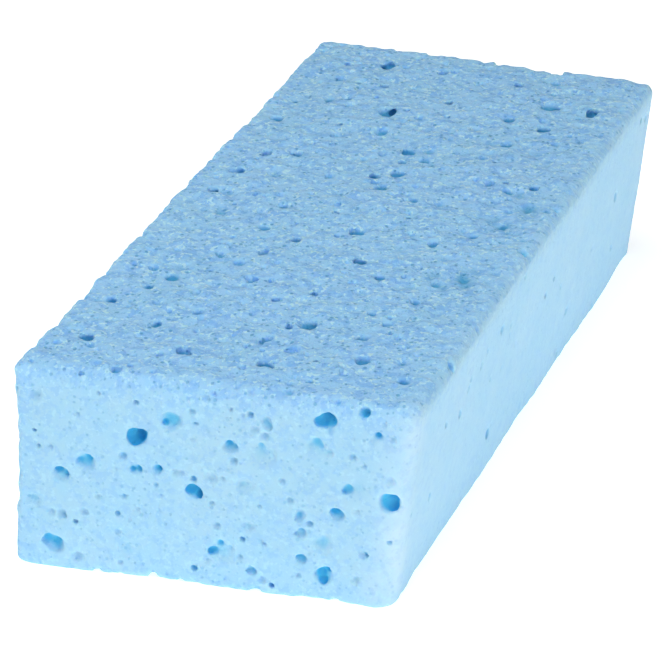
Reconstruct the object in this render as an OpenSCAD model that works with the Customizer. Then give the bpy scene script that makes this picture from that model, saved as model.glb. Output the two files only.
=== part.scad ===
// Cleaning sponge: one plain block of open foam with round pores of mixed size.
// Lengths are in millimetres. The length runs along Y, the width along X and the height along Z.
// The cut end with the listed pores faces -Y. The underside lies on z = 0, and the origin is
// under the middle of the block's box.
// The block is cut a little out of square: the front cut runs askew, and both sides lean.

/* [Block] */
// Length along the middle of the block
block_l = 190; // [130:5:220]
// Width at half height
block_w = 87; // [60:1:100]
// Height from the underside to the top
block_h = 49; // [36:1:57]

/* [Out of square] */
// How far the left end of the front cut stands ahead of its right end
front_skew = 7; // [0:0.5:8]
// How far the left side leans to the right over the height
left_lean = 2; // [0:0.5:4]
// How far the right side leans to the right over the height
right_lean = 6; // [0:0.5:6]

/* [Edges] */
// Rounding of the top edge of the front cut
front_top_r = 4; // [2:0.5:6]
// Rounding of the top edge at the back
back_top_r = 2; // [2:0.5:6]
// Rounding of the long top edge on the left
left_top_r = 1; // [1:0.5:6]
// Rounding of the long top edge on the right
right_top_r = 3; // [2:0.5:6]
// Rounding of the two long edges at the underside
long_foot_r = 1.5; // [1:0.5:4]
// Rounding of the two short edges at the underside
short_foot_r = 1; // [1:0.5:4]
// Rounding of the upright edge between the front cut and the right side
front_right_r = 4; // [2:0.5:6]
// Rounding of the other three upright edges
upright_r = 2; // [2:0.5:6]

/* [Pores] */
// Size of every pore against its listed or scattered size
pore_scale = 1; // [1:0.1:1.2]
// Spacing of the scattered pores
pore_pitch = 15; // [12:1:24]
// Smallest opening of a scattered pore
pore_min = 1.6; // [1:0.2:2.4]
// Largest opening of a scattered pore
pore_max = 4; // [2.6:0.2:5]
// Share of the scattered pores that the smoother right side shows
right_share = 0.4; // [0:0.1:1]
// Starting number of the scatter, where each number gives another scatter
scatter = 5; // [1:1:60]

/* [Hidden] */
$fn = 24;

// Arris angle, at which an edge rounding meets the two faces beside it
arris = 10;
// Overshoot of the cutting shapes past the block
past = 3;

// Faces as [outward normal, a point on the face]
function unit(v) = v / norm(v);
face_front = [unit([front_skew, -block_w, 0]), [0, -block_l / 2, 0]];
face_back  = [[0, 1, 0], [0, block_l / 2, 0]];
face_left  = [unit([-block_h, 0, left_lean]), [-block_w / 2, 0, block_h / 2]];
face_right = [unit([block_h, 0, -right_lean]), [block_w / 2, 0, block_h / 2]];
face_top   = [[0, 0, 1], [0, 0, block_h]];
face_foot  = [[0, 0, -1], [0, 0, 0]];

// Point where three faces meet
function meet(a, b, c) =
    (cross(b[0], c[0]) * (a[0] * a[1]) + cross(c[0], a[0]) * (b[0] * b[1])
     + cross(a[0], b[0]) * (c[0] * c[1])) / (a[0] * cross(b[0], c[0]));

// Box of the block, and the shift that puts the origin under its middle
x_lo = min(meet(face_left, face_front, face_foot)[0], meet(face_left, face_front, face_top)[0]);
x_hi = max(meet(face_right, face_front, face_foot)[0], meet(face_right, face_front, face_top)[0]);
y_lo = min(meet(face_left, face_front, face_foot)[1], meet(face_left, face_front, face_top)[1]);
y_hi = block_l / 2;
middle = [-(x_lo + x_hi) / 2, -(y_lo + y_hi) / 2, 0];

// Pores of the front cut, as [across from the left %, up from the foot %, opening, depth factor].
// A depth factor near 0.7 is a deep bubble with a narrower mouth, 0 is half a ball, and a
// negative one is a dish, which at -0.8 is no deeper than a sixth of its width.
front_pores = [
    // the large ones
    [32.3, 71, 4.4,  0.35], [41.3, 81.5, 4.8, -0.35], [19.2, 55.7, 4.2, -0.4], [12, 48, 4.0, -0.4],
    [31.6, 55, 3.4,  -0.2], [37.9, 56.2, 2.4,   0.3], [37.6, 54.6, 1.8,  0.2], [48, 47, 4.0,  0.0],
    [50.6, 44.4, 2.4, -0.5], [52.3, 42.6, 1.6,  0.2], [10.6, 12.2, 4.0, -0.2], [81.8, 90.5, 4.0, 0.2],
    [82.5, 86, 1.6,   0.2], [90.8, 95.7, 2.4,   0.5], [98.4, 53.6, 4.8,  0.1], [82.2, 13, 4.2, -0.1],
    [85.2, 45, 3.0,  -0.1], [94.8, 85.8, 2.4,   0.1], [93.8, 83.6, 1.8, -0.2], [75.6, 43.4, 2.4, -0.2],
    [75, 40.8, 2.0,   0.1], [75.7, 33.2, 2.6,  -0.2], [76.1, 20.2, 2.4,  0.2], [63.2, 11.2, 2.4, 0.1],
    [66.1, 87, 2.2,  -0.2], [66.8, 84.3, 1.7,   0.3], [57.1, 72.4, 3.4, -0.4],
    // shallow dishes, some with smaller pores in them
    [90, 59.4, 5.4, -0.85], [87.5, 58, 2.4,    0.35], [79.8, 76.4, 5.4, -0.85], [79.2, 79, 2.4, 0.25],
    [82.4, 74.8, 2.0, 0.0], [77.7, 77.4, 1.7,   0.1], [65, 71, 6.2,     -0.85], [65, 73, 2.4,  0.0],
    [67.8, 69.8, 2.2, -0.3], [61, 53, 3.8,     -0.7], [60, 53.6, 2.0,     0.0], [55.4, 19, 5.6, -0.8],
    [52.8, 18, 2.2,  0.35], [54.6, 22.6, 2.2,   0.0], [57.2, 21, 1.7,     0.0], [51.6, 13.6, 2.4, -0.4],
    [81.5, 29.8, 4.6, -0.6], [30.2, 12.8, 4.6, -0.8], [28.6, 13.6, 1.6,   0.0], [29.9, 15.8, 1.6, 0.0],
    [76, 58.8, 4.2,  -0.8], [4.8, 33.5, 3.4,   -0.7], [62.2, 33.6, 2.6,  -0.6], [56.2, 6.4, 3.4, -0.7],
    [16.6, 7.4, 2.6, -0.6], [5.8, 87, 2.6,     -0.6], [52.2, 56.2, 3.0,  -0.6],
    // the small ones
    [46.9, 87.2, 1.4, 0.3], [50.4, 94.4, 1.8,   0.1], [62, 89.3, 1.7,     0.2], [69.8, 95.4, 1.6, 0.0],
    [28.8, 61, 1.8,   0.1], [9.6, 61.5, 1.4,    0.0], [12.4, 28, 2.2,    -0.3], [9.8, 28.6, 1.8, -0.4],
    [18.8, 30.2, 2.0, -0.3], [16.3, 25.1, 1.5,  0.0], [22.1, 39, 1.5,     0.0], [27.4, 21.8, 1.7, 0.0],
    [36.6, 97.6, 2.4, -0.1], [42.6, 56, 1.8,   -0.2], [44.4, 56.5, 1.5,  -0.2], [53.8, 31.8, 1.7, 0.1],
    [66, 7, 2.0,     -0.2], [72.8, 49.2, 1.6,   0.0], [98.4, 85, 1.8,     0.0], [98.4, 64.4, 2.6, -0.3],
    [92, 26.4, 2.4,  -0.3], [90.5, 13.4, 2.0,  -0.2], [88.6, 74.2, 1.7,   0.2], [63.2, 82, 2.0, -0.2],
    [65.9, 79.2, 2.0, -0.2], [58, 65.6, 1.8,   -0.1]];

// Bubbles that open into the floor of a larger pore of the front cut, as
// [across %, up %, width, depth of its middle below the face]
front_cores = [
    [34.2, 74, 2.2, 0.8], [39.8, 79.6, 1.6, 1.2], [19.8, 58.4, 2.2, 0.9], [17.4, 55.6, 1.7, 0.8],
    [11.4, 49.5, 2.2, 1.1], [13.5, 47.8, 1.6, 0.9], [33, 54.8, 1.8, 0.9], [48.2, 48.2, 2.2, 1.8],
    [11.4, 13.8, 1.4, 1.4], [80.8, 89.2, 2.0, 2.0], [99, 50, 2.0, 2.0], [83, 16.2, 2.0, 1.1],
    [81.7, 10.2, 2.2, 1.3], [56.5, 73.2, 1.6, 1.0], [58.3, 72, 1.4, 0.8], [75.7, 35, 1.4, 0.7]];

// Pores of the top, as [across from the left %, back from the front %, opening, depth factor]
top_pores = [
    [10.5, 8.7, 3.2, 0.3], [13.2, 6.9, 2.6, -0.2], [36, 7.8, 3.0, 0.2], [57, 7, 3.2, 0.4],
    [53, 5.4, 1.8, 0.2], [54, 10, 1.7, 0.3], [61.5, 10.7, 2.8, -0.1], [78.5, 10.5, 3.2, 0.2],
    [77, 6.8, 2.4, -0.2], [59.4, 17.6, 4.6, -0.2], [74.6, 15.8, 3.0, 0.0], [53, 13, 2.6, 0.2],
    [24, 13.8, 2.4, 0.2], [23.3, 12, 1.8, 0.0], [31.5, 17.6, 2.4, 0.2], [20, 18.8, 2.0, 0.2],
    [17.5, 25.9, 3.2, 0.2], [13.8, 22.8, 2.4, 0.3], [38, 27.2, 2.6, 0.2], [27, 22.3, 2.2, 0.0],
    [47.5, 22.7, 2.6, 0.1], [55, 25.2, 2.2, 0.3], [72.5, 22, 2.4, 0.1], [77.8, 20, 2.8, 0.0],
    [67.5, 31.4, 2.8, 0.3], [24.5, 33, 2.4, 0.0], [31, 31.3, 2.2, 0.0], [34.8, 34.5, 2.8, 0.3],
    [59.4, 35, 2.8, 0.5], [82, 31.6, 3.0, -0.2], [87.5, 33.6, 4.4, -0.6], [19, 2.4, 2.2, 0.0],
    [24.2, 1.8, 2.4, -0.1], [67.5, 1.6, 2.4, 0.0], [11.5, 27.5, 2.2, 0.0], [91.5, 7, 3.4, -0.3],
    [88, 11.4, 2.4, -0.1], [66, 26.8, 4.2, -0.7], [39.8, 38.5, 2.6, 0.4], [31.5, 38.2, 1.8, 0.2],
    [24.5, 35.5, 1.7, 0.2], [29.4, 41.2, 2.6, 0.2], [52.8, 42.7, 3.8, 0.0], [74, 41.8, 3.0, 0.1],
    [97.4, 42.2, 3.0, 0.1], [82, 44.9, 2.6, 0.0], [87.5, 48.3, 2.8, 0.0], [29.3, 47.5, 2.6, 0.0],
    [43, 49.2, 1.8, 0.2], [8, 50, 2.8, 0.2], [9.8, 56, 3.6, 0.0], [26.5, 50.4, 2.2, 0.0],
    [60.7, 53.2, 2.2, 0.3], [68, 52.8, 3.8, -0.7], [49.8, 55.8, 3.8, -0.1], [47.4, 57.1, 2.2, 0.2],
    [45.8, 58.9, 2.6, 0.4], [51, 60.2, 3.2, 0.3], [34.4, 57.4, 2.4, 0.2], [13.4, 61.9, 2.4, 0.3],
    [21.2, 62.8, 2.8, 0.3], [82.3, 58.3, 2.4, 0.3], [88.5, 60, 2.2, 0.3], [76.3, 60, 2.4, 0.0],
    [86.5, 52.6, 1.8, 0.2], [55, 64.8, 2.4, 0.3], [49, 67, 2.8, 0.4], [43, 65.3, 2.0, 0.0],
    [7, 73, 3.2, 0.2], [27, 69.4, 2.4, 0.1], [38, 71.8, 3.4, -0.3], [35, 78.5, 4.6, -0.2],
    [44.6, 77.3, 2.4, 0.2], [51.2, 78.7, 2.2, 0.2], [21.2, 81.4, 2.2, 0.2], [23.2, 79.4, 1.8, 0.1],
    [68.3, 80, 3.6, 0.0], [76.6, 84.8, 5.0, -0.3], [88.7, 84.5, 3.4, 0.45], [86.4, 82.2, 1.8, 0.2],
    [79.4, 77.8, 3.4, 0.3], [77.4, 80.3, 1.8, 0.1], [73, 71.9, 2.8, 0.2], [57.3, 71.7, 2.0, 0.2],
    [24, 93.3, 3.8, 0.2], [29.6, 93.1, 2.2, 0.2], [41, 92.3, 2.6, 0.1], [64.2, 90.6, 2.8, 0.1],
    [75, 89, 2.2, 0.1], [73.6, 92.6, 2.8, 0.0], [14.5, 87.2, 3.0, -0.3], [70, 67, 2.6, 0.0]];

// Bubbles in the floor of a larger pore of the top, as
// [across %, back %, width, depth of its middle below the face]
top_cores = [
    [60.6, 16.6, 2.8, 1.6], [35.2, 77.3, 2.2, 1.5], [35.8, 79.7, 2.4, 1.5], [77.2, 83.8, 3.0, 1.6]];

// Pores cut open by an edge, as [how far along it %, opening], which scallop that edge.
// The long top edges count back from the front cut, and the other two from the left.
left_top_nicks = [[11, 1.8], [18.5, 2.6], [25, 2.4], [30.5, 3.0], [36, 3.4], [43, 3.2], [53, 1.8],
    [59, 2.0], [72, 2.0], [82, 1.8]];
right_top_nicks = [[19, 2.0], [43, 2.4], [71, 2.0]];
back_top_nicks = [[34, 3.8], [50, 3.2], [54.5, 3.2], [70, 4.8]];
front_foot_nicks = [[22, 2.0], [37, 2.6], [64, 2.4], [85, 2.0]];

// A repeatable fraction from 0 to 1 for a whole number
function chance(n) = let (v = sin(n * 78.233 + scatter * 37.719) * 43758.5453) v - floor(v);

// Balls along the edge from p to q, each set in from it by the step given
module nicks(p, q, step, rows)
    for (e = rows)
        translate(p + (q - p) * (e[0] / 100) + step) sphere(r = e[1] * pore_scale / 2);

// Point on a face from its low corner, far corner and side corner, by two fractions
function spot(c00, c10, c01, u, v) = c00 + (c10 - c00) * u + (c01 - c00) * v;

// Ball that opens a face at p with mouth width d. k is the depth factor.
module pore(p, n, d, k) {
    r = d * pore_scale / 2 / sqrt(1 - k * k);
    translate(p - n * (k * r)) rotate([0, acos(n[2]), atan2(n[1], n[0])]) sphere(r = r);
}

// Pores listed for a face by percentages
module listed(face, c00, c10, c01, rows)
    for (q = rows)
        pore(spot(c00, c10, c01, q[0] / 100, q[1] / 100), face[0], q[2], q[3]);

// Bubbles below a face, listed by percentages, width and depth
module cores(face, c00, c10, c01, rows)
    for (q = rows)
        translate(spot(c00, c10, c01, q[0] / 100, q[1] / 100) - face[0] * q[3])
            rotate([0, acos(face[0][2]), atan2(face[0][1], face[0][0])]) sphere(r = q[2] * pore_scale / 2);

// Pores scattered over a face, one to a cell of the pitch, each well inside its own cell.
// share is how many of the cells have one, and most is their largest opening.
module scattered(face, c00, c10, c01, share, most, first) {
    lu = norm(c10 - c00);
    lv = norm(c01 - c00);
    rim = 5;
    nu = max(1, floor((lu - 2 * rim) / pore_pitch));
    nv = max(1, floor((lv - 2 * rim) / pore_pitch));
    du = (lu - 2 * rim) / nu;
    dv = (lv - 2 * rim) / nv;
    for (i = [0 : nu - 1], j = [0 : nv - 1]) {
        n = first + i * 31 + j * 7;
        d = pore_min + (most - pore_min) * pow(chance(n), 2);
        k = -0.3 + 0.9 * chance(n + 0.37);
        room = 1 - 1.5 * most * pore_scale / min(du, dv);
        u = (rim + du * (i + 0.5 + room * (chance(n + 0.11) - 0.5))) / lu;
        v = (rim + dv * (j + 0.5 + room * (chance(n + 0.73) - 0.5))) / lv;
        if (chance(n + 0.91) < share) pore(spot(c00, c10, c01, u, v), face[0], d, k);
    }
}

// Shape that rounds the edge from p to q between faces with normals na and nb
module easing(p, q, na, nb, r) {
    z = unit(q - p);
    flip = cross(na, nb) * z < 0;
    a = flip ? nb : na;
    b = flip ? na : nb;
    y = cross(z, a);
    bx = a * b;
    by = y * b;
    c = -r / (1 + bx);
    o = past / (1 + bx);
    l = norm(q - p) + 2 * past;
    start = p - z * past;
    multmatrix([[a[0], y[0], z[0], start[0]], [a[1], y[1], z[1], start[1]],
                [a[2], y[2], z[2], start[2]], [0, 0, 0, 1]])
        linear_extrude(height = l)
            difference() {
                polygon([[c * (1 + bx) + r, c * by], [c * (1 + bx) + r + past, c * by],
                         [o * (1 + bx), o * by],
                         [c * (1 + bx) + (r + past) * bx, c * by + (r + past) * by],
                         [c * (1 + bx) + r * bx, c * by + r * by]]);
                translate([c * (1 + bx), c * by]) circle(r = r / cos(arris), $fn = 48);
            }
}

// The block with flat faces: its section swept along Y, trimmed to its plan
module squared_block() {
    hl = left_lean / 2;
    hr = right_lean / 2;
    w = block_w / 2;
    far = block_l / 2;
    wide = block_w;
    intersection() {
        translate([0, far + 20, 0]) rotate([90, 0, 0]) linear_extrude(height = 2 * far + 40)
            polygon([[-w - hl, 0], [w - hr, 0], [w + hr, block_h], [-w + hl, block_h]]);
        translate([0, 0, -10]) linear_extrude(height = block_h + 20)
            polygon([[-wide, -far - front_skew], [wide, -far + front_skew], [wide, far], [-wide, far]]);
    }
}

// The block with all twelve edges eased
module eased_block() {
    a = meet(face_left, face_front, face_foot);
    b = meet(face_right, face_front, face_foot);
    c = meet(face_right, face_front, face_top);
    d = meet(face_left, face_front, face_top);
    e = meet(face_left, face_back, face_foot);
    f = meet(face_right, face_back, face_foot);
    g = meet(face_right, face_back, face_top);
    h = meet(face_left, face_back, face_top);
    difference() {
        difference() {
            difference() {
                squared_block();
                easing(d, h, face_left[0], face_top[0], left_top_r);
                easing(c, g, face_right[0], face_top[0], right_top_r);
                easing(a, e, face_left[0], face_foot[0], long_foot_r);
                easing(b, f, face_right[0], face_foot[0], long_foot_r);
            }
            easing(a, d, face_left[0], face_front[0], upright_r);
            easing(b, c, face_right[0], face_front[0], front_right_r);
            easing(e, h, face_left[0], face_back[0], upright_r);
            easing(f, g, face_right[0], face_back[0], upright_r);
        }
        easing(d, c, face_front[0], face_top[0], front_top_r);
        easing(h, g, face_back[0], face_top[0], back_top_r);
        easing(a, b, face_front[0], face_foot[0], short_foot_r);
        easing(e, f, face_back[0], face_foot[0], short_foot_r);
    }
}

// All pores of the six faces and of the nicked edges
module pores() {
    a = meet(face_left, face_front, face_foot);
    b = meet(face_right, face_front, face_foot);
    d = meet(face_left, face_front, face_top);
    c = meet(face_right, face_front, face_top);
    e = meet(face_left, face_back, face_foot);
    f = meet(face_right, face_back, face_foot);
    g = meet(face_right, face_back, face_top);
    h = meet(face_left, face_back, face_top);
    listed(face_front, a, b, d, front_pores);
    cores(face_front, a, b, d, front_cores);
    listed(face_top, d, c, h, top_pores);
    cores(face_top, d, c, h, top_cores);
    scattered(face_foot, a, b, e, 1, pore_max, 1100);
    scattered(face_left, a, e, d, 1, pore_max, 2100);
    scattered(face_right, b, f, c, right_share, pore_min + 0.4 * (pore_max - pore_min), 3100);
    scattered(face_back, e, f, h, 1, pore_max, 4100);
    nicks(d, h, [0.3, 0, -0.4], left_top_nicks);
    nicks(c, g, [-0.4, 0, -0.5], right_top_nicks);
    nicks(h, g, [0, -0.3, -0.4], back_top_nicks);
    nicks(a, b, [0, 0.3, 0.2], front_foot_nicks);
}

module sponge() {
    color([0.68, 0.87, 0.97])
        translate(middle)
            difference() {
                eased_block();
                pores();
            }
}

sponge();
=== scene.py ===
import itertools
import math

import bpy
import numpy as np
from mathutils import Matrix, Vector


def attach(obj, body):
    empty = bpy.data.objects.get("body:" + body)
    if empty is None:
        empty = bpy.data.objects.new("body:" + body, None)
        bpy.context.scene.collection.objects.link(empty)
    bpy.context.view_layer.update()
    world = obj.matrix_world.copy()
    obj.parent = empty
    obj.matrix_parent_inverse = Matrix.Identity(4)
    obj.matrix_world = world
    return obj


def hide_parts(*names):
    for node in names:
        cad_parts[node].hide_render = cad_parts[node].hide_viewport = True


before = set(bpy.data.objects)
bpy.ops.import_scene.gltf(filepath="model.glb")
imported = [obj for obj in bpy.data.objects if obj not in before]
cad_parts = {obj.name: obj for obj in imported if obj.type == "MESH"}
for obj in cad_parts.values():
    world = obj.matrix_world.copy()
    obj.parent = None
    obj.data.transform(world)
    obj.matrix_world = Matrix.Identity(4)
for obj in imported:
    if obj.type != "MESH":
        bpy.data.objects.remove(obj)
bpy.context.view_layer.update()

# ---------------------------------------------------------------- the block
# Millimetres, in the block's own frame, with the same numbers as the CAD source.
LONG, WIDE, HIGH = 190.0, 87.0, 49.0
SKEW, LEAN_LEFT, LEAN_RIGHT = 7.0, 2.0, 6.0
FRONT_TOP_R, BACK_TOP_R, LEFT_TOP_R, RIGHT_TOP_R = 4.0, 2.0, 1.0, 3.0
LONG_FOOT_R, SHORT_FOOT_R, FRONT_RIGHT_R, UPRIGHT_R = 1.5, 1.0, 4.0, 2.0
PORE_PITCH, PORE_MIN, PORE_MAX, RIGHT_SHARE, SCATTER = 15.0, 1.6, 4.0, 0.4, 5


def unit(v):
    v = np.asarray(v, float)
    return v / np.linalg.norm(v)


FRONT = (unit([SKEW, -WIDE, 0]), np.array([0, -LONG / 2, 0]))
BACK = (unit([0, 1, 0]), np.array([0, LONG / 2, 0]))
LEFT = (unit([-HIGH, 0, LEAN_LEFT]), np.array([-WIDE / 2, 0, HIGH / 2]))
RIGHT = (unit([HIGH, 0, -LEAN_RIGHT]), np.array([WIDE / 2, 0, HIGH / 2]))
TOP = (unit([0, 0, 1]), np.array([0, 0, HIGH]))
FOOT = (unit([0, 0, -1]), np.array([0.0, 0, 0]))


def meet(*faces):
    return np.linalg.solve(np.array([f[0] for f in faces]), np.array([f[0] @ f[1] for f in faces]))


A, B = meet(LEFT, FRONT, FOOT), meet(RIGHT, FRONT, FOOT)
C, D = meet(RIGHT, FRONT, TOP), meet(LEFT, FRONT, TOP)
E, F = meet(LEFT, BACK, FOOT), meet(RIGHT, BACK, FOOT)
G, H = meet(RIGHT, BACK, TOP), meet(LEFT, BACK, TOP)
MIDDLE = np.array([
    -(min(A[0], D[0]) + max(B[0], C[0])) / 2,
    -(min(A[1], D[1]) + LONG / 2) / 2,
    0.0,
])

# Pores of the front cut, as across from the left %, up from the foot %, opening, depth factor
FRONT_PORES = [
    (32.3, 71, 4.4, 0.35), (41.3, 81.5, 4.8, -0.35), (19.2, 55.7, 4.2, -0.4), (12, 48, 4.0, -0.4),
    (31.6, 55, 3.4, -0.2), (37.9, 56.2, 2.4, 0.3), (37.6, 54.6, 1.8, 0.2), (48, 47, 4.0, 0.0),
    (50.6, 44.4, 2.4, -0.5), (52.3, 42.6, 1.6, 0.2), (10.6, 12.2, 4.0, -0.2), (81.8, 90.5, 4.0, 0.2),
    (82.5, 86, 1.6, 0.2), (90.8, 95.7, 2.4, 0.5), (98.4, 53.6, 4.8, 0.1), (82.2, 13, 4.2, -0.1),
    (85.2, 45, 3.0, -0.1), (94.8, 85.8, 2.4, 0.1), (93.8, 83.6, 1.8, -0.2), (75.6, 43.4, 2.4, -0.2),
    (75, 40.8, 2.0, 0.1), (75.7, 33.2, 2.6, -0.2), (76.1, 20.2, 2.4, 0.2), (63.2, 11.2, 2.4, 0.1),
    (66.1, 87, 2.2, -0.2), (66.8, 84.3, 1.7, 0.3), (57.1, 72.4, 3.4, -0.4), (90, 59.4, 5.4, -0.85),
    (87.5, 58, 2.4, 0.35), (79.8, 76.4, 5.4, -0.85), (79.2, 79, 2.4, 0.25), (82.4, 74.8, 2.0, 0.0),
    (77.7, 77.4, 1.7, 0.1), (65, 71, 6.2, -0.85), (65, 73, 2.4, 0.0), (67.8, 69.8, 2.2, -0.3),
    (61, 53, 3.8, -0.7), (60, 53.6, 2.0, 0.0), (55.4, 19, 5.6, -0.8), (52.8, 18, 2.2, 0.35),
    (54.6, 22.6, 2.2, 0.0), (57.2, 21, 1.7, 0.0), (51.6, 13.6, 2.4, -0.4), (81.5, 29.8, 4.6, -0.6),
    (30.2, 12.8, 4.6, -0.8), (28.6, 13.6, 1.6, 0.0), (29.9, 15.8, 1.6, 0.0), (76, 58.8, 4.2, -0.8),
    (4.8, 33.5, 3.4, -0.7), (62.2, 33.6, 2.6, -0.6), (56.2, 6.4, 3.4, -0.7), (16.6, 7.4, 2.6, -0.6),
    (5.8, 87, 2.6, -0.6), (52.2, 56.2, 3.0, -0.6), (46.9, 87.2, 1.4, 0.3), (50.4, 94.4, 1.8, 0.1),
    (62, 89.3, 1.7, 0.2), (69.8, 95.4, 1.6, 0.0), (28.8, 61, 1.8, 0.1), (9.6, 61.5, 1.4, 0.0),
    (12.4, 28, 2.2, -0.3), (9.8, 28.6, 1.8, -0.4), (18.8, 30.2, 2.0, -0.3), (16.3, 25.1, 1.5, 0.0),
    (22.1, 39, 1.5, 0.0), (27.4, 21.8, 1.7, 0.0), (36.6, 97.6, 2.4, -0.1), (42.6, 56, 1.8, -0.2),
    (44.4, 56.5, 1.5, -0.2), (53.8, 31.8, 1.7, 0.1), (66, 7, 2.0, -0.2), (72.8, 49.2, 1.6, 0.0),
    (98.4, 85, 1.8, 0.0), (98.4, 64.4, 2.6, -0.3), (92, 26.4, 2.4, -0.3), (90.5, 13.4, 2.0, -0.2),
    (88.6, 74.2, 1.7, 0.2), (63.2, 82, 2.0, -0.2), (65.9, 79.2, 2.0, -0.2), (58, 65.6, 1.8, -0.1),
]
# Bubbles in the floor of a larger pore, as across %, up %, width, depth of the middle below the face
FRONT_CORES = [
    (34.2, 74, 2.2, 0.8), (39.8, 79.6, 1.6, 1.2), (19.8, 58.4, 2.2, 0.9), (17.4, 55.6, 1.7, 0.8),
    (11.4, 49.5, 2.2, 1.1), (13.5, 47.8, 1.6, 0.9), (33, 54.8, 1.8, 0.9), (48.2, 48.2, 2.2, 1.8),
    (11.4, 13.8, 1.4, 1.4), (80.8, 89.2, 2.0, 2.0), (99, 50, 2.0, 2.0), (83, 16.2, 2.0, 1.1),
    (81.7, 10.2, 2.2, 1.3), (56.5, 73.2, 1.6, 1.0), (58.3, 72, 1.4, 0.8), (75.7, 35, 1.4, 0.7),
]
# Pores of the top, as across from the left %, back from the front %, opening, depth factor
TOP_PORES = [
    (10.5, 8.7, 3.2, 0.3), (13.2, 6.9, 2.6, -0.2), (36, 7.8, 3.0, 0.2), (57, 7, 3.2, 0.4),
    (53, 5.4, 1.8, 0.2), (54, 10, 1.7, 0.3), (61.5, 10.7, 2.8, -0.1), (78.5, 10.5, 3.2, 0.2),
    (77, 6.8, 2.4, -0.2), (59.4, 17.6, 4.6, -0.2), (74.6, 15.8, 3.0, 0.0), (53, 13, 2.6, 0.2),
    (24, 13.8, 2.4, 0.2), (23.3, 12, 1.8, 0.0), (31.5, 17.6, 2.4, 0.2), (20, 18.8, 2.0, 0.2),
    (17.5, 25.9, 3.2, 0.2), (13.8, 22.8, 2.4, 0.3), (38, 27.2, 2.6, 0.2), (27, 22.3, 2.2, 0.0),
    (47.5, 22.7, 2.6, 0.1), (55, 25.2, 2.2, 0.3), (72.5, 22, 2.4, 0.1), (77.8, 20, 2.8, 0.0),
    (67.5, 31.4, 2.8, 0.3), (24.5, 33, 2.4, 0.0), (31, 31.3, 2.2, 0.0), (34.8, 34.5, 2.8, 0.3),
    (59.4, 35, 2.8, 0.5), (82, 31.6, 3.0, -0.2), (87.5, 33.6, 4.4, -0.6), (19, 2.4, 2.2, 0.0),
    (24.2, 1.8, 2.4, -0.1), (67.5, 1.6, 2.4, 0.0), (11.5, 27.5, 2.2, 0.0), (91.5, 7, 3.4, -0.3),
    (88, 11.4, 2.4, -0.1), (66, 26.8, 4.2, -0.7), (39.8, 38.5, 2.6, 0.4), (31.5, 38.2, 1.8, 0.2),
    (24.5, 35.5, 1.7, 0.2), (29.4, 41.2, 2.6, 0.2), (52.8, 42.7, 3.8, 0.0), (74, 41.8, 3.0, 0.1),
    (97.4, 42.2, 3.0, 0.1), (82, 44.9, 2.6, 0.0), (87.5, 48.3, 2.8, 0.0), (29.3, 47.5, 2.6, 0.0),
    (43, 49.2, 1.8, 0.2), (8, 50, 2.8, 0.2), (9.8, 56, 3.6, 0.0), (26.5, 50.4, 2.2, 0.0),
    (60.7, 53.2, 2.2, 0.3), (68, 52.8, 3.8, -0.7), (49.8, 55.8, 3.8, -0.1), (47.4, 57.1, 2.2, 0.2),
    (45.8, 58.9, 2.6, 0.4), (51, 60.2, 3.2, 0.3), (34.4, 57.4, 2.4, 0.2), (13.4, 61.9, 2.4, 0.3),
    (21.2, 62.8, 2.8, 0.3), (82.3, 58.3, 2.4, 0.3), (88.5, 60, 2.2, 0.3), (76.3, 60, 2.4, 0.0),
    (86.5, 52.6, 1.8, 0.2), (55, 64.8, 2.4, 0.3), (49, 67, 2.8, 0.4), (43, 65.3, 2.0, 0.0),
    (7, 73, 3.2, 0.2), (27, 69.4, 2.4, 0.1), (38, 71.8, 3.4, -0.3), (35, 78.5, 4.6, -0.2),
    (44.6, 77.3, 2.4, 0.2), (51.2, 78.7, 2.2, 0.2), (21.2, 81.4, 2.2, 0.2), (23.2, 79.4, 1.8, 0.1),
    (68.3, 80, 3.6, 0.0), (76.6, 84.8, 5.0, -0.3), (88.7, 84.5, 3.4, 0.45), (86.4, 82.2, 1.8, 0.2),
    (79.4, 77.8, 3.4, 0.3), (77.4, 80.3, 1.8, 0.1), (73, 71.9, 2.8, 0.2), (57.3, 71.7, 2.0, 0.2),
    (24, 93.3, 3.8, 0.2), (29.6, 93.1, 2.2, 0.2), (41, 92.3, 2.6, 0.1), (64.2, 90.6, 2.8, 0.1),
    (75, 89, 2.2, 0.1), (73.6, 92.6, 2.8, 0.0), (14.5, 87.2, 3.0, -0.3), (70, 67, 2.6, 0.0),
]
TOP_CORES = [
    (60.6, 16.6, 2.8, 1.6), (35.2, 77.3, 2.2, 1.5), (35.8, 79.7, 2.4, 1.5), (77.2, 83.8, 3.0, 1.6),
]
# Pores cut open by an edge, as how far along it %, opening
LEFT_TOP_NICKS = [
    (11, 1.8), (18.5, 2.6), (25, 2.4), (30.5, 3.0), (36, 3.4), (43, 3.2), (53, 1.8), (59, 2.0), (72, 2.0),
    (82, 1.8),
]
RIGHT_TOP_NICKS = [
    (19, 2.0), (43, 2.4), (71, 2.0),
]
BACK_TOP_NICKS = [
    (34, 3.8), (50, 3.2), (54.5, 3.2), (70, 4.8),
]
FRONT_FOOT_NICKS = [
    (22, 2.0), (37, 2.6), (64, 2.4), (85, 2.0),
]


def chance(n):
    v = math.sin(math.radians(n * 78.233 + SCATTER * 37.719)) * 43758.5453
    return v - math.floor(v)


def spot(c00, c10, c01, u, v):
    return c00 + (c10 - c00) * u + (c01 - c00) * v


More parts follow.
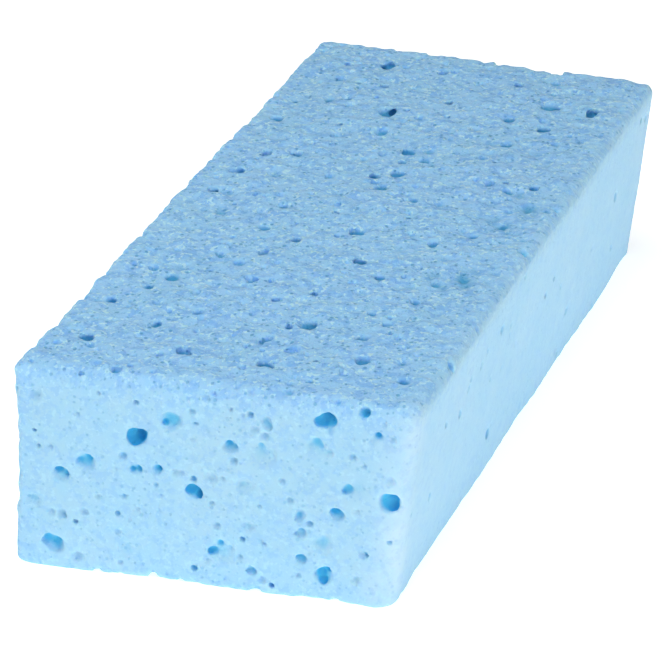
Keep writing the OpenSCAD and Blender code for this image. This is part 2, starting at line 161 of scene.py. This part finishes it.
def cad_pores():
    """Balls of the CAD solid, as centre x, y, z, radius, in the block's own frame before the shift to the middle."""
    balls = []

    def pore(p, n, d, k):
        r = d / 2 / math.sqrt(1 - k * k)
        balls.append((*(p - n * (k * r)), r))

    def listed(face, c00, c10, c01, rows):
        for u, v, d, k in rows:
            pore(spot(c00, c10, c01, u / 100, v / 100), face[0], d, k)

    def cores(face, c00, c10, c01, rows):
        for u, v, d, down in rows:
            balls.append((*(spot(c00, c10, c01, u / 100, v / 100) - face[0] * down), d / 2))

    def scattered(face, c00, c10, c01, share, most, first):
        lu, lv, rim = np.linalg.norm(c10 - c00), np.linalg.norm(c01 - c00), 5.0
        nu = max(1, math.floor((lu - 2 * rim) / PORE_PITCH))
        nv = max(1, math.floor((lv - 2 * rim) / PORE_PITCH))
        du, dv = (lu - 2 * rim) / nu, (lv - 2 * rim) / nv
        for i, j in itertools.product(range(nu), range(nv)):
            n = first + i * 31 + j * 7
            d = PORE_MIN + (most - PORE_MIN) * chance(n) ** 2
            k = -0.3 + 0.9 * chance(n + 0.37)
            room = 1 - 1.5 * most / min(du, dv)
            u = (rim + du * (i + 0.5 + room * (chance(n + 0.11) - 0.5))) / lu
            v = (rim + dv * (j + 0.5 + room * (chance(n + 0.73) - 0.5))) / lv
            if chance(n + 0.91) < share:
                pore(spot(c00, c10, c01, u, v), face[0], d, k)

    def nicks(p, q, step, rows):
        for t, d in rows:
            balls.append((*(p + (q - p) * (t / 100) + np.array(step)), d / 2))

    listed(FRONT, A, B, D, FRONT_PORES)
    cores(FRONT, A, B, D, FRONT_CORES)
    listed(TOP, D, C, H, TOP_PORES)
    cores(TOP, D, C, H, TOP_CORES)
    scattered(FOOT, A, B, E, 1, PORE_MAX, 1100)
    scattered(LEFT, A, E, D, 1, PORE_MAX, 2100)
    scattered(RIGHT, B, F, C, RIGHT_SHARE, PORE_MIN + 0.4 * (PORE_MAX - PORE_MIN), 3100)
    scattered(BACK, E, F, H, 1, PORE_MAX, 4100)
    nicks(D, H, [0.3, 0, -0.4], LEFT_TOP_NICKS)
    nicks(C, G, [-0.4, 0, -0.5], RIGHT_TOP_NICKS)
    nicks(H, G, [0, -0.3, -0.4], BACK_TOP_NICKS)
    nicks(A, B, [0, 0.3, 0.2], FRONT_FOOT_NICKS)
    return np.array(balls)


def round_both(a, b, r):
    """Distance to the part inside both a and b, with the edge between them rounded to r."""
    return np.minimum(-r, np.maximum(a, b)) + np.hypot(np.maximum(a + r, 0), np.maximum(b + r, 0))


def faces_at(x, y, z):
    """Distances outside each of the six faces, at places in the block's own frame."""
    return [
        n[0] * (x - p[0]) + n[1] * (y - p[1]) + n[2] * (z - p[2])
        for n, p in (FRONT, BACK, LEFT, RIGHT, TOP, FOOT)
    ]


def block_at(x, y, z):
    """Distance outside the block with eased edges. Negative inside."""
    front, back, left, right, top, foot = faces_at(x, y, z)
    upright = np.where((front > back) & (right > left), FRONT_RIGHT_R, UPRIGHT_R)
    sides = round_both(np.maximum(left, right), np.maximum(front, back), upright)
    # The nearest side decides how round the top edge is
    near = np.maximum.reduce(np.broadcast_arrays(front, back, left, right))
    w = [np.exp(np.maximum(d - near, -40) / 1.5) for d in (front, back, left, right)]
    r = sum(a * b for a, b in zip(w, (FRONT_TOP_R, BACK_TOP_R, LEFT_TOP_R, RIGHT_TOP_R))) / sum(w)
    low = sum(a * b for a, b in zip(w, (SHORT_FOOT_R, SHORT_FOOT_R, LONG_FOOT_R, LONG_FOOT_R))) / sum(w)
    return round_both(round_both(sides, top, r), foot, low)


# ---------------------------------------------------------------- foam cells
RNG = np.random.default_rng(20417)
# Share of medium and small cells that each face shows, and how rough it is, for front, back, left, right, top, foot
MEDIUM = np.array([0.10, 0.22, 0.30, 0.03, 0.20, 0.32])
SMALL = np.array([0.24, 0.40, 0.50, 0.05, 0.48, 0.50])
ROUGH = np.array([0.35, 0.50, 0.75, 0.14, 1.00, 0.60])


def share_of_faces(x, y, z, soft=1.5):
    """How much each face counts at a place near the surface. The six shares add up to 1."""
    d = np.stack(np.broadcast_arrays(*faces_at(x, y, z))) / soft
    d -= d.max(0)
    w = np.exp(d)
    return w / w.sum(0)


def shell_cells(share, pitch, low, high, reach, power, taken, gap):
    """Balls on a jittered lattice near the surface, clear of those already taken. reach is how far a centre
    lies in or out of the surface, in radii."""
    lo = np.minimum.reduce([A, B, C, D, E, F, G, H]) - 2
    hi = np.maximum.reduce([A, B, C, D, E, F, G, H]) + 2
    n = np.ceil((hi - lo) / pitch).astype(int)
    at = np.stack(np.meshgrid(*[np.arange(k) for k in n], indexing="ij"), -1).reshape(-1, 3)
    at = lo + pitch * (at + RNG.random(at.shape))
    r = (low + (high - low) * RNG.random(len(at)) ** power) / 2
    keep = RNG.random(len(at))
    d = block_at(*at.T)
    near = (d > -reach[0] * r) & (d < reach[1] * r)
    at, r, keep = at[near], r[near], keep[near]
    near = keep < share @ share_of_faces(*at.T)
    at, r = at[near], r[near]
    clear = np.ones(len(at), bool)
    for i in range(0, len(taken), 256):
        block = taken[i : i + 256]
        far = np.linalg.norm(at[:, None] - block[None, :, :3], axis=2)
        clear &= (far > (block[None, :, 3] + r[:, None]) * gap).all(1)
    at, r = at[clear], r[clear]
    # Of two that crowd each other, the smaller goes
    order = np.argsort(-r, kind="stable")
    at, r = at[order], r[order]
    cell = {}
    kept = []
    size = high
    for i, p in enumerate(at):
        key = tuple(np.floor(p / size).astype(int))
        ok = True
        for off in itertools.product((-1, 0, 1), repeat=3):
            for j in cell.get((key[0] + off[0], key[1] + off[1], key[2] + off[2]), ()):
                if np.linalg.norm(at[j] - p) < (r[i] + r[j]) * gap:
                    ok = False
                    break
            if not ok:
                break
        if ok:
            cell.setdefault(key, []).append(i)
            kept.append(i)
    return np.c_[at[kept], r[kept]]


def windows(balls, least):
    """Smaller balls that open into the walls of the larger ones, deeper in the foam."""
    found = []
    for x, y, z, r in balls:
        c = np.array([x, y, z])
        if r < least or block_at(*c) > 0.3 * r:
            continue  # too small, or a shallow dish
        w = share_of_faces(x, y, z)
        n = sum(s * f[0] for s, f in zip(w, (FRONT, BACK, LEFT, RIGHT, TOP, FOOT)))
        for _ in range(1 + (r > 1.9)):
            d = unit(RNG.normal(size=3) * 0.8 - n)
            k = 0.45 + 0.25 * RNG.random()
            found.append((*(c + d * r * (0.88 + 0.2 * RNG.random())), r * k))
    return np.array(found)


# ---------------------------------------------------------------- the mesh
def lattice(shape, origin, step, pitch, rng):
    """Smooth noise of about unit spread on a grid, from random numbers on a coarser lattice."""
    weights = []
    for k in range(3):
        t = (origin[k] + step * np.arange(shape[k])) / pitch
        t -= t[0] - 1.0 - rng.random()
        i = np.floor(t).astype(int)
        u = (t - i).astype(np.float32)
        w = np.zeros((shape[k], i[-1] + 3), np.float32)
        rows = np.arange(shape[k])
        w[rows, i - 1] = (1 - u) ** 3 / 6
        w[rows, i] = (3 * u**3 - 6 * u**2 + 4) / 6
        w[rows, i + 1] = (-3 * u**3 + 3 * u**2 + 3 * u + 1) / 6
        w[rows, i + 2] = u**3 / 6
        weights.append(w)
    n = rng.normal(size=[w.shape[1] for w in weights]).astype(np.float32)
    n = np.tensordot(weights[2], n, (1, 2))  # z, x, y
    n = np.tensordot(weights[1], n, (1, 2))  # y, z, x
    n = np.tensordot(weights[0], n, (1, 2))  # x, y, z
    return n / 0.33


def carve(f, origin, step, balls, soft, widen, wobble):
    """Takes balls out of the solid f. Their rims are softened by soft mm and widen times the radius, and
    wobble makes them a little uneven."""
    top = np.array(f.shape)
    for x, y, z, r in balls:
        rim = min(soft + widen * r, 0.6)
        uneven = 0.10 * r if r < 2.2 else 1.06 / r**2
        c = (np.array([x, y, z]) - origin) / step
        lo = np.maximum(np.floor(c - (r + rim + 2 * uneven) / step).astype(int) - 1, 0)
        hi = np.minimum(np.ceil(c + (r + rim + 2 * uneven) / step).astype(int) + 2, top)
        if (hi <= lo).any():
            continue
        gx, gy, gz = (((np.arange(lo[k], hi[k]) - c[k]) * step).astype(np.float32) ** 2 for k in range(3))
        box = tuple(slice(lo[k], hi[k]) for k in range(3))
        hole = r - np.sqrt(gx[:, None, None] + gy[None, :, None] + gz[None, None, :])
        hole += uneven * np.clip(wobble[box], -1.8, 1.8)
        part = f[box]
        h = np.maximum(rim - np.abs(part - hole), 0)
        np.maximum(part, hole, out=part)
        part += h * h / (4 * rim)


def settle(f):
    """Fills the few grid places where the surface would meet itself along an edge or at a point."""
    tiny = np.float32(-1e-3)
    for _ in range(30):
        s = f < 0
        changed = 0
        for a, b in ((0, 1), (1, 2), (0, 2)):
            view = [[slice(None)] * 3 for _ in range(4)]
            for m, (i, j) in enumerate(((0, 0), (1, 0), (0, 1), (1, 1))):
                view[m][a] = slice(i, f.shape[a] - 1 + i)
                view[m][b] = slice(j, f.shape[b] - 1 + j)
            v = [tuple(x) for x in view]
            s00, s10, s01, s11 = (s[x] for x in v)
            bad = (s00 == s11) & (s10 == s01) & (s00 != s10)
            at = np.argwhere(bad)
            if len(at):
                changed += len(at)
                for m, (i, j) in enumerate(((0, 0), (1, 0), (0, 1), (1, 1))):
                    p = at.copy()
                    p[:, a] += i
                    p[:, b] += j
                    here = f[tuple(p.T)]
                    f[tuple(p.T)] = np.where(here >= 0, tiny, here)
                s = f < 0
        total = sum(
            s[i : f.shape[0] - 1 + i, j : f.shape[1] - 1 + j, k : f.shape[2] - 1 + k].astype(np.int8)
            for i, j, k in itertools.product((0, 1), repeat=3)
        )
        for i, j, k in ((0, 0, 0), (1, 0, 0), (0, 1, 0), (0, 0, 1)):
            one = s[i : f.shape[0] - 1 + i, j : f.shape[1] - 1 + j, k : f.shape[2] - 1 + k]
            o = (1 - i, 1 - j, 1 - k)
            two = s[o[0] : f.shape[0] - 1 + o[0], o[1] : f.shape[1] - 1 + o[1], o[2] : f.shape[2] - 1 + o[2]]
            at = np.argwhere(((total == 6) & ~one & ~two) | ((total == 2) & one & two))
            if len(at):
                changed += len(at)
                for m in itertools.product((0, 1), repeat=3):
                    p = at + np.array(m)
                    here = f[tuple(p.T)]
                    f[tuple(p.T)] = np.where(here >= 0, tiny, here)
        if not changed:
            break
    return f


def surface(f, origin, step):
    """The zero surface of f, as points and four-cornered faces that look outwards."""
    s = f < 0
    nx, ny, nz = f.shape
    total = np.zeros((nx - 1, ny - 1, nz - 1), np.int8)
    for i, j, k in itertools.product((0, 1), repeat=3):
        total += s[i : nx - 1 + i, j : ny - 1 + j, k : nz - 1 + k]
    cells = np.argwhere((total > 0) & (total < 8)).astype(np.int32)
    del total
    number = np.full((nx - 1, ny - 1, nz - 1), -1, np.int32)
    number[tuple(cells.T)] = np.arange(len(cells), dtype=np.int32)
    acc, count = np.zeros((len(cells), 3), np.float32), np.zeros(len(cells), np.float32)
    for axis in range(3):
        e = np.eye(3, dtype=np.int32)[axis]
        others = [k for k in range(3) if k != axis]
        for i, j in itertools.product((0, 1), repeat=2):
            p0 = np.zeros(3, np.int32)
            p0[others[0]], p0[others[1]] = i, j
            a = f[tuple((cells + p0).T)]
            b = f[tuple((cells + p0 + e).T)]
            cross = (a < 0) != (b < 0)
            t = np.where(cross, a / np.where(cross, a - b, 1), 0)
            for k in range(3):
                acc[:, k] += np.where(cross, p0[k] + t * e[k], 0)
            count += cross
    points = origin + step * (cells + acc / count[:, None])
    quads = []
    for axis in range(3):
        a = [slice(None)] * 3
        b = [slice(None)] * 3
        a[axis], b[axis] = slice(0, -1), slice(1, None)
        a, b = tuple(a), tuple(b)
        at = np.argwhere(s[a] != s[b])
        u, v = (axis + 1) % 3, (axis + 2) % 3
        at = at[(at[:, u] > 0) & (at[:, v] > 0) & (at[:, u] < f.shape[u] - 1) & (at[:, v] < f.shape[v] - 1)]
        corners = []
        for du, dv in ((-1, -1), (0, -1), (0, 0), (-1, 0)):
            c = at.copy()
            c[:, u] += du
            c[:, v] += dv
            corners.append(number[tuple(c.T)])
        q = np.stack(corners, 1)
        out = s[tuple(at.T)]
        q[~out] = q[~out][:, ::-1]
        quads.append(q)
    return points, np.concatenate(quads)


def main_piece(count, quads):
    """Which points belong to the piece with the most points, joined through faces."""
    label = np.arange(count)
    a = quads[:, [0, 1, 2, 3]].ravel()
    b = quads[:, [1, 2, 3, 0]].ravel()
    while True:
        new = label.copy()
        low = np.minimum(label[a], label[b])
        np.minimum.at(new, a, low)
        np.minimum.at(new, b, low)
        while True:
            again = new[new]
            if (again == new).all():
                break
            new = again
        if (new == label).all():
            break
        label = new
    return label == np.bincount(label).argmax()


def foam_mesh(step, triangles):
    lo = np.minimum.reduce([A, B, C, D, E, F, G, H]) - 1.6
    hi = np.maximum.reduce([A, B, C, D, E, F, G, H]) + 1.6
    lo[2] = -1.5 * step
    shape = np.ceil((hi - lo) / step).astype(int) + 1
    x = (lo[0] + step * np.arange(shape[0])).astype(np.float32)[:, None, None]
    y = (lo[1] + step * np.arange(shape[1])).astype(np.float32)[None, :, None]
    z = (lo[2] + step * np.arange(shape[2])).astype(np.float32)[None, None, :]
    f = block_at(x, y, z).astype(np.float32)
    # Roughness of the cut faces, strongest on the top
    rng = np.random.default_rng(733)
    w = share_of_faces(x, y, z).astype(np.float32)
    rough = np.tensordot(ROUGH.astype(np.float32), w, (0, 0))
    del w
    f += 0.16 * lattice(shape, lo, step, 14.0, rng)
    f += rough * 0.10 * lattice(shape, lo, step, 3.4, rng)
    f += rough * 0.12 * lattice(shape, lo, step, 2.0, rng)
    f += rough * 0.13 * lattice(shape, lo, step, 1.2, rng)
    del rough
    wobble = lattice(shape, lo, step, 1.5, rng)
    big = cad_pores()
    deep = windows(big, 1.1)
    taken = np.concatenate([big, deep])
    medium = shell_cells(MEDIUM, 5.2, 1.7, 2.6, (0.75, 0.7), 1.6, taken, 1.02)
    taken = np.concatenate([taken, medium])
    small = shell_cells(SMALL, 2.5, 0.95, 1.65, (0.8, 0.5), 1.3, taken, 0.98)
    carve(f, lo, step, small, 0.10, 0.12, wobble)
    carve(f, lo, step, medium, 0.10, 0.16, wobble)
    carve(f, lo, step, windows(medium, 1.0), 0.10, 0.10, wobble)
    carve(f, lo, step, deep, 0.10, 0.10, wobble)
    carve(f, lo, step, big, 0.10, 0.20, wobble)
    del wobble
    f = np.maximum(f, -z)
    settle(f)
    points, quads = surface(f, lo, step)
    keep = main_piece(len(points), quads)
    quads = quads[keep[quads[:, 0]]]
    number = np.cumsum(keep) - 1
    points, quads = points[keep], number[quads]
    print("foam:", len(big), "large,", len(medium), "medium,", len(small), "small;", len(quads), "quads")
    mesh = bpy.data.meshes.new("sponge_foam")
    mesh.vertices.add(len(points))
    mesh.vertices.foreach_set("co", ((points + MIDDLE) / 1000).astype(np.float32).ravel())
    mesh.loops.add(quads.size)
    mesh.loops.foreach_set("vertex_index", quads.astype(np.int32).ravel())
    mesh.polygons.add(len(quads))
    mesh.polygons.foreach_set("loop_start", np.arange(0, quads.size, 4, dtype=np.int32))
    mesh.update(calc_edges=True)
    raw = bpy.data.objects.new("sponge_raw", mesh)
    bpy.context.scene.collection.objects.link(raw)
    thin = raw.modifiers.new("thin", "DECIMATE")
    thin.ratio = triangles / (2 * len(quads))
    thin.use_collapse_triangulate = True
    dg = bpy.context.evaluated_depsgraph_get()
    done = bpy.data.meshes.new_from_object(raw.evaluated_get(dg))
    bpy.data.objects.remove(raw)
    bpy.data.meshes.remove(mesh)
    return done


STEP = 0.4
mesh = foam_mesh(STEP, 192000)
mesh.name = "sponge_foam"
co = np.zeros(len(mesh.vertices) * 3, np.float32)
mesh.vertices.foreach_get("co", co)
co = co.reshape(-1, 3) * 1000 - MIDDLE
# How far each point lies below the eased block; the material uses it for painted shade in the pores
depth = np.maximum(-block_at(*co.T), 0).astype(np.float32)
shares = share_of_faces(*co.T, soft=2.6)
mesh.attributes.new("depth", "FLOAT", "POINT").data.foreach_set("value", depth)
mesh.attributes.new("grain", "FLOAT", "POINT").data.foreach_set("value", (ROUGH @ shares).astype(np.float32))
# Painted highlight: the upright edge on the right of the front cut is painted paler, where it faces the key light
mesh.attributes.new("painted_edge_highlight", "FLOAT", "POINT").data.foreach_set("value", (4 * shares[0] * shares[3]).astype(np.float32))
mesh.polygons.foreach_set("use_smooth", np.ones(len(mesh.polygons), bool))
mesh.update()
foam = bpy.data.objects.new("foam_block", mesh)
bpy.context.scene.collection.objects.link(foam)
print("foam:", len(mesh.polygons), "triangles")


# ---------------------------------------------------------------- the material
def nodes_of(name):
    m = bpy.data.materials.new(name)
    m.use_nodes = True
    nt = m.node_tree
    nt.nodes.clear()
    return m, nt


class Graph:
    """Short ways to add nodes to a material."""

    def __init__(self, nt):
        self.nt = nt

    def add(self, kind, inputs=(), **settings):
        n = self.nt.nodes.new(kind)
        for k, v in settings.items():
            setattr(n, k, v)
        for k, v in dict(inputs).items():
            if isinstance(v, bpy.types.NodeSocket):
                self.nt.links.new(v, n.inputs[k])
            else:
                n.inputs[k].default_value = v
        return n

    def maths(self, operation, a, b=None, c=None, clamp=False):
        return self.add(
            "ShaderNodeMath", {i: v for i, v in enumerate((a, b, c)) if v is not None}, operation=operation, use_clamp=clamp
        ).outputs[0]

    def ramp(self, value, a, b, lo=0.0, hi=1.0, smooth=True):
        return self.add(
            "ShaderNodeMapRange",
            {"Value": value, "From Min": a, "From Max": b, "To Min": lo, "To Max": hi},
            interpolation_type="SMOOTHSTEP" if smooth else "LINEAR",
        ).outputs["Result"]

    def mix(self, factor, a, b, blend="MIX"):
        n = self.nt.nodes.new("ShaderNodeMix")
        n.data_type = "RGBA"
        n.blend_type = blend
        for socket, v in (("Factor_Float", factor), ("A_Color", a), ("B_Color", b)):
            s = next(x for x in n.inputs if x.identifier == socket)
            if isinstance(v, bpy.types.NodeSocket):
                self.nt.links.new(v, s)
            elif isinstance(v, (tuple, list)):
                s.default_value = (*v, 1.0)
            else:
                s.default_value = v
        return next(x for x in n.outputs if x.identifier == "Result_Color")


def foam_material():
    m, nt = nodes_of("foam_blue")
    g = Graph(nt)
    out = g.add("ShaderNodeOutputMaterial")
    shader = g.add("ShaderNodeBsdfPrincipled")
    nt.links.new(shader.outputs[0], out.inputs[0])
    place = g.add("ShaderNodeTexCoord").outputs["Object"]
    mm = g.add("ShaderNodeVectorMath", {0: place, 3: 1000.0}, operation="SCALE").outputs[0]
    depth = g.add("ShaderNodeAttribute", attribute_name="depth").outputs["Fac"]
    grain = g.add("ShaderNodeAttribute", attribute_name="grain").outputs["Fac"]
    painted_edge_highlight = g.add("ShaderNodeAttribute", attribute_name="painted_edge_highlight").outputs["Fac"]

    def voronoi(scale, feature="F1", **inputs):
        return g.add("ShaderNodeTexVoronoi", {"Vector": mm, "Scale": scale, **inputs}, feature=feature)

    def noise(scale, detail=2.0, roughness=0.5):
        return g.add("ShaderNodeTexNoise", {"Vector": mm, "Scale": scale, "Detail": detail, "Roughness": roughness}).outputs["Fac"]

    def specks(scale, share, low, high, edge):
        """Round spots, one to a cell at most, each of its own size. Distances are in cells."""
        v = voronoi(scale)
        apart = g.add("ShaderNodeSeparateColor", {0: v.outputs["Color"]})
        size = g.maths("MULTIPLY_ADD", apart.outputs[0], high - low, low)
        spot = g.maths("DIVIDE", g.maths("SUBTRACT", size, v.outputs["Distance"]), edge, clamp=True)
        return g.maths("MULTIPLY", spot, g.maths("LESS_THAN", apart.outputs[1], share))

    pits = specks(0.74, 0.62, 0.12, 0.40, 0.18)
    dots = specks(1.5, 0.50, 0.14, 0.42, 0.22)
    patch = noise(0.045, 2.0)
    cloud = noise(0.22, 3.0)
    crumb = noise(0.46, 3.0, 0.60)
    sand = noise(0.85, 2.0, 0.55)
    # Colour: pale where light gets through the thin walls, with painted shade that turns it a deeper, darker blue down
    # in the pores
    pale = g.mix(g.ramp(grain, 0.2, 0.36), (0.43, 0.715, 0.935), (0.412, 0.672, 0.835))
    # Painted highlight: a paler colour along the upright edge between the front cut and the right side
    pale = g.mix(g.maths("MULTIPLY", painted_edge_highlight, 0.66), pale, (0.68, 0.83, 0.92))
    pale = g.mix(g.ramp(grain, 0.3, 1.0), pale, (0.34, 0.64, 0.99))
    pale = g.mix(g.ramp(patch, 0.35, 0.65, 0.0, 0.30), pale, (0.34, 0.66, 0.90))
    pale = g.mix(g.ramp(cloud, 0.42, 0.70, 0.0, 0.20), pale, (0.30, 0.62, 0.90))
    dark = g.maths("MULTIPLY", g.ramp(crumb, 0.48, 0.62, 0.0, 0.56), grain)
    pale = g.mix(dark, pale, (0.17, 0.43, 0.86))
    # Painted highlight: pale specks on the rough faces stand in for glints, and partly for pale thin cell walls
    light = g.maths("MULTIPLY", g.ramp(sand, 0.55, 0.66, 0.0, 0.75), grain)
    pale = g.mix(light, pale, (0.54, 0.85, 0.99))
    # Painted shade: small dark round spots where the bump dents tiny open cells, standing in for the shade inside them
    painted_pit_shade = g.maths("MULTIPLY", g.maths("MAXIMUM", g.maths("MULTIPLY", pits, 0.80), g.maths("MULTIPLY", dots, g.ramp(grain, 0.2, 1.0, 0.10, 0.45))),
                   g.ramp(grain, 0.2, 1.0, 0.16, 1.0, smooth=False))
    cell = g.mix(painted_pit_shade, pale, (0.12, 0.385, 0.68))
    # Painted shade: from about a third to half a millimetre down in pores and hollows, the colour turns to a darker,
    # more saturated blue, darker on the rough top than on the front
    painted_pore_shade = g.mix(g.ramp(grain, 0.3, 1.0), (0.045, 0.57, 0.91), (0.03, 0.31, 0.58))
    deep = g.mix(g.ramp(depth, g.ramp(grain, 0.3, 1.0, 0.46, 0.32), g.ramp(grain, 0.3, 1.0, 1.9, 1.4), 0.0, 0.86), cell, painted_pore_shade)
    nt.links.new(deep, shader.inputs["Base Color"])
    # Bright thin walls catch the light
    glint = g.ramp(sand, 0.62, 0.74)
    nt.links.new(g.maths("MULTIPLY_ADD", glint, -0.25, 0.80), shader.inputs["Roughness"])
    shader.inputs["Specular IOR Level"].default_value = 0.2
    shader.inputs["Subsurface Weight"].default_value = 0.55
    shader.inputs["Subsurface Radius"].default_value = (0.6, 1.0, 1.4)
    shader.inputs["Subsurface Scale"].default_value = 0.0015
    # Bump: small open cells and a grain finer still
    height = g.maths("MULTIPLY", pits, -0.26)
    height = g.maths("MULTIPLY_ADD", dots, -0.14, height)
    height = g.maths("MULTIPLY_ADD", crumb, 0.62, height)
    height = g.maths("MULTIPLY_ADD", sand, 0.28, height)
    height = g.maths("MULTIPLY", height, g.ramp(grain, 0.14, 1.0, 0.14, 1.0, smooth=False))
    bump = g.add("ShaderNodeBump", {"Height": height, "Distance": 0.001, "Strength": 1.0})
    nt.links.new(bump.outputs[0], shader.inputs["Normal"])
    return m


mesh.materials.clear()
mesh.materials.append(foam_material())
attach(foam, "root")
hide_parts("sponge")


# ---------------------------------------------------------------- floor, light, camera
def floor_material():
    m, nt = nodes_of("floor_white")
    g = Graph(nt)
    out = g.add("ShaderNodeOutputMaterial")
    shader = g.add("ShaderNodeBsdfPrincipled", {"Roughness": 0.9})
    nt.links.new(shader.outputs[0], out.inputs[0])
    place = g.add("ShaderNodeTexCoord").outputs["Object"]
    cloud = g.add("ShaderNodeTexNoise", {"Vector": place, "Scale": 3.0, "Detail": 2.0}).outputs["Fac"]
    nt.links.new(g.mix(cloud, (0.90, 0.90, 0.90), (0.93, 0.93, 0.93)), shader.inputs["Base Color"])
    shader.inputs["Specular IOR Level"].default_value = 0.1
    # The table glows a little, as a light table does
    shader.inputs["Emission Color"].default_value = (1, 1, 1, 1)
    shader.inputs["Emission Strength"].default_value = 0.58
    return m


plane = bpy.data.meshes.new("floor")
n, half = 12, 4.0
grid = [(half * (2 * i / n - 1), half * (2 * j / n - 1), 0.0) for j in range(n + 1) for i in range(n + 1)]
cells = [(j * (n + 1) + i, j * (n + 1) + i + 1, (j + 1) * (n + 1) + i + 1, (j + 1) * (n + 1) + i) for j in range(n) for i in range(n)]
plane.from_pydata(grid, [], cells)
plane.materials.append(floor_material())
floor = bpy.data.objects.new("floor", plane)
bpy.context.scene.collection.objects.link(floor)


def softbox(name, at, aim, size, power, colour=(1, 1, 1)):
    data = bpy.data.lights.new(name, "AREA")
    data.shape, data.size, data.size_y = "RECTANGLE", size[0], size[1]
    data.energy, data.color = power, colour
    lamp = bpy.data.objects.new(name, data)
    lamp.location = at
    lamp.rotation_mode = "QUATERNION"
    lamp.rotation_quaternion = (Vector(aim) - Vector(at)).to_track_quat("-Z", "Y")
    bpy.context.scene.collection.objects.link(lamp)
    return lamp


softbox("key", (1.5, -1.40, 0.80), (0, 0, 0.02), (1.2, 1.0), 11.8)
softbox("over", (-0.12, -0.30, 0.80), (0, 0, 0.04), (0.65, 0.65), 4.34)

world = bpy.data.worlds.new("studio")
world.use_nodes = True
world.node_tree.nodes["Background"].inputs["Color"].default_value = (1, 1, 1, 1)
world.node_tree.nodes["Background"].inputs["Strength"].default_value = 0.24
bpy.context.scene.world = world
bpy.context.scene.view_settings.view_transform = "Standard"
bpy.context.scene.view_settings.look = "None"

cam = bpy.data.objects.new("camera", bpy.data.cameras.new("camera"))
cam.data.sensor_width, cam.data.lens = 36.0, 194.87
cam.data.clip_start, cam.data.clip_end = 0.05, 20.0
right, down, forward = (0.9397, 0.34179, -0.01176), (0.14488, -0.42901, -0.8916), (-0.30978, 0.83614, -0.45266)
cam.matrix_world = Matrix([
    [right[0], -down[0], -forward[0], 0.25822],
    [right[1], -down[1], -forward[1], -0.71433],
    [right[2], -down[2], -forward[2], 0.40301],
    [0, 0, 0, 1],
])
bpy.context.scene.collection.objects.link(cam)
bpy.context.scene.camera = cam
